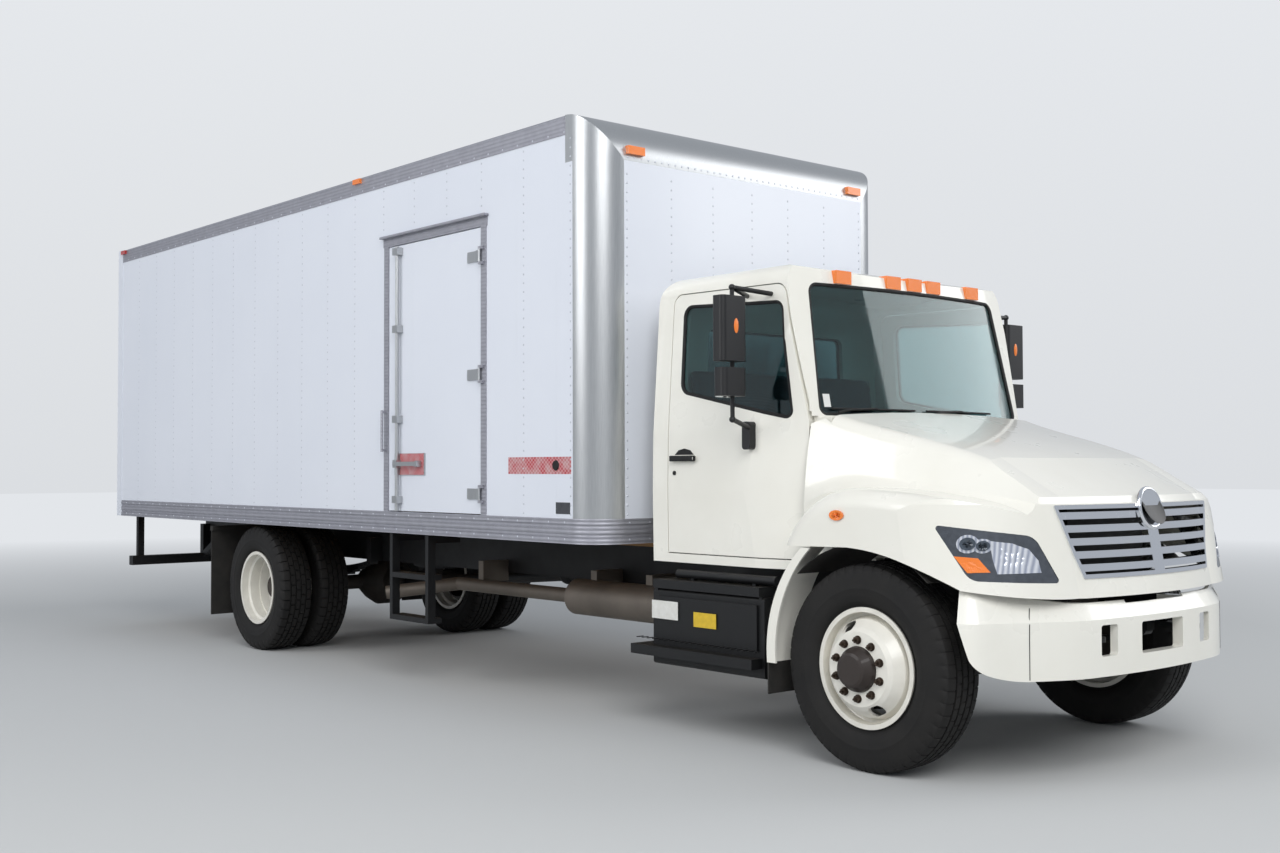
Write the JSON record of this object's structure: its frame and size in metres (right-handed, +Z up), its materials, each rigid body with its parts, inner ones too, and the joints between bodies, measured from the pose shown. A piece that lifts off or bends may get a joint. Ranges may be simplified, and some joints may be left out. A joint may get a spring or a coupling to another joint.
{
  "type": "box truck",
  "caption": "Bonnetted two-axle box truck with a dry freight body, roll-up rear door, side door, tilting hood, cab doors and steered front wheels.",
  "frame": {"origin": "on the floor under the middle of the truck's bounding box", "axes": "+Z up, -Y the way the truck drives, +X to its left side"},
  "size_m": [2.708, 10.2488, 3.62],
  "materials": {
    "frame_paint": "satin black chassis paint",
    "engine_iron": "painted cast iron",
    "radiator_core": "black painted core",
    "exhaust_steel": "dull aluminised steel",
    "axle_iron": "black forged and cast iron",
    "spring_steel": "black spring steel",
    "black_paint": "satin black",
    "flap_rubber": "moulded rubber",
    "white_paint": "gloss white enamel",
    "wall_paint": "gloss white coated aluminium sheet",
    "bumper_paint": "gloss white enamel",
    "window_glass": "tinted laminated glass",
    "dash_plastic": "grained dark plastic",
    "seat_cloth": "woven seat cloth",
    "floor_wood": "laminated hardwood boards",
    "roof_aluminium": "mill finish sheet",
    "post_aluminium": "brushed",
    "rail_aluminium": "weathered extrusion",
    "lock_steel": "galvanised",
    "lamp_plastic": "amber and red lamp lens",
    "lamp_glass": "clear moulded lens",
    "grille_chrome": "polished",
    "mirror_plastic": "moulded black",
    "wheel_paint": "gloss white steel wheel",
    "tyre": "black rubber"
  },
  "bodies": {
    "truck": {"frame_rails": "frame_paint", "frame_crossmembers": "frame_paint", "engine_block": "engine_iron", "radiator": "radiator_core", "drive_shaft": "frame_paint", "exhaust": "exhaust_steel", "front_axle": "axle_iron", "rear_axle": "axle_iron", "leaf_springs": "spring_steel", "fuel_tank": "black_paint", "battery_box": "black_paint", "underride_guard": "black_paint", "mudflaps": "flap_rubber", "side_ladder": "black_paint", "cab_shell": "white_paint", "cab_glass": "window_glass", "dashboard": "dash_plastic", "steering_wheel": "dash_plastic", "seats": "seat_cloth", "front_bumper": "bumper_paint", "front_mudguards": "white_paint", "cargo_floor": "floor_wood", "cargo_wall_left": "wall_paint", "cargo_wall_right": "wall_paint", "cargo_front_wall": "wall_paint", "cargo_roof": "roof_aluminium", "corner_posts": "post_aluminium", "nose_cap": "post_aluminium", "box_rails": "rail_aluminium", "rear_frame": "white_paint", "roll_up_door": "wall_paint", "side_door_frame": "rail_aluminium", "marker_lamps": "lamp_plastic"},
    "hood": {"hood": "white_paint", "grille": "grille_chrome", "headlamps": "lamp_glass"},
    "side_door": {"side_door": "wall_paint", "side_door_hardware": "lock_steel"},
    "tie_rod": {"tie_rod": "axle_iron"},
    "cab_door_right": {"cab_door_right": "white_paint", "door_glass_right": "window_glass", "mirror_right": "mirror_plastic"},
    "knuckle_right": {"knuckle_right": "axle_iron"},
    "front_wheel_right": {"front_wheel_right": "wheel_paint", "front_tyre_right": "tyre"},
    "rear_wheels_right": {"rear_wheels_right": "wheel_paint", "rear_tyres_right": "tyre"},
    "cab_door_left": {"cab_door_left": "white_paint", "door_glass_left": "window_glass", "mirror_left": "mirror_plastic"},
    "knuckle_left": {"knuckle_left": "axle_iron"},
    "front_wheel_left": {"front_wheel_left": "wheel_paint", "front_tyre_left": "tyre"},
    "rear_wheels_left": {"rear_wheels_left": "wheel_paint", "rear_tyres_left": "tyre"}
  },
  "joints": [
    {"name": "hood_tilt", "type": "hinge", "parent": "truck", "child": "hood", "pos_m": [0, -5.0445, 0.945], "axis": [1, 0, 0], "range_deg": [0, 60]},
    {"name": "cab_door_right_swing", "type": "hinge", "parent": "truck", "child": "cab_door_right", "pos_m": [-0.92, -3.6295, 1.5], "axis": [0, 0, 1], "range_deg": [0, 62]},
    {"name": "cab_door_left_swing", "type": "hinge", "parent": "truck", "child": "cab_door_left", "pos_m": [0.92, -3.6295, 1.5], "axis": [0, 0, -1], "range_deg": [0, 62]},
    {"name": "side_door_swing", "type": "hinge", "parent": "truck", "child": "side_door", "pos_m": [-1.311, -1.1195, 2.1], "axis": [0, 0, 1], "range_deg": [0, 165]},
    {"name": "steer_left", "type": "hinge", "parent": "truck", "child": "knuckle_left", "pos_m": [0.868, -4.1795, 0.51], "axis": [0, 0, 1], "range_deg": [-35, 35]},
    {"name": "steer_right", "type": "hinge", "parent": "truck", "child": "knuckle_right", "pos_m": [-0.868, -4.1795, 0.51], "axis": [0, 0, 1], "range_deg": [-35, 35]},
    {"name": "tie_rod_turn", "type": "hinge", "parent": "knuckle_left", "child": "tie_rod", "pos_m": [0.868, -3.9995, 0.368], "axis": [0, 0, 1], "range_deg": [-35, 35]},
    {"name": "front_wheel_right_roll", "type": "hinge", "parent": "knuckle_right", "child": "front_wheel_right", "pos_m": [-1.011, -4.1795, 0.51], "axis": [1, 0, 0], "continuous": true},
    {"name": "front_wheel_left_roll", "type": "hinge", "parent": "knuckle_left", "child": "front_wheel_left", "pos_m": [1.011, -4.1795, 0.51], "axis": [1, 0, 0], "continuous": true},
    {"name": "rear_wheels_right_roll", "type": "hinge", "parent": "truck", "child": "rear_wheels_right", "pos_m": [-0.934, 2.2505, 0.51], "axis": [1, 0, 0], "continuous": true},
    {"name": "rear_wheels_left_roll", "type": "hinge", "parent": "truck", "child": "rear_wheels_left", "pos_m": [0.934, 2.2505, 0.51], "axis": [1, 0, 0], "continuous": true}
  ],
  "couplings": [
    {"joint": "steer_right", "follows": "steer_left", "ratio": 1},
    {"joint": "tie_rod_turn", "follows": "steer_left", "ratio": -1}
  ]
}
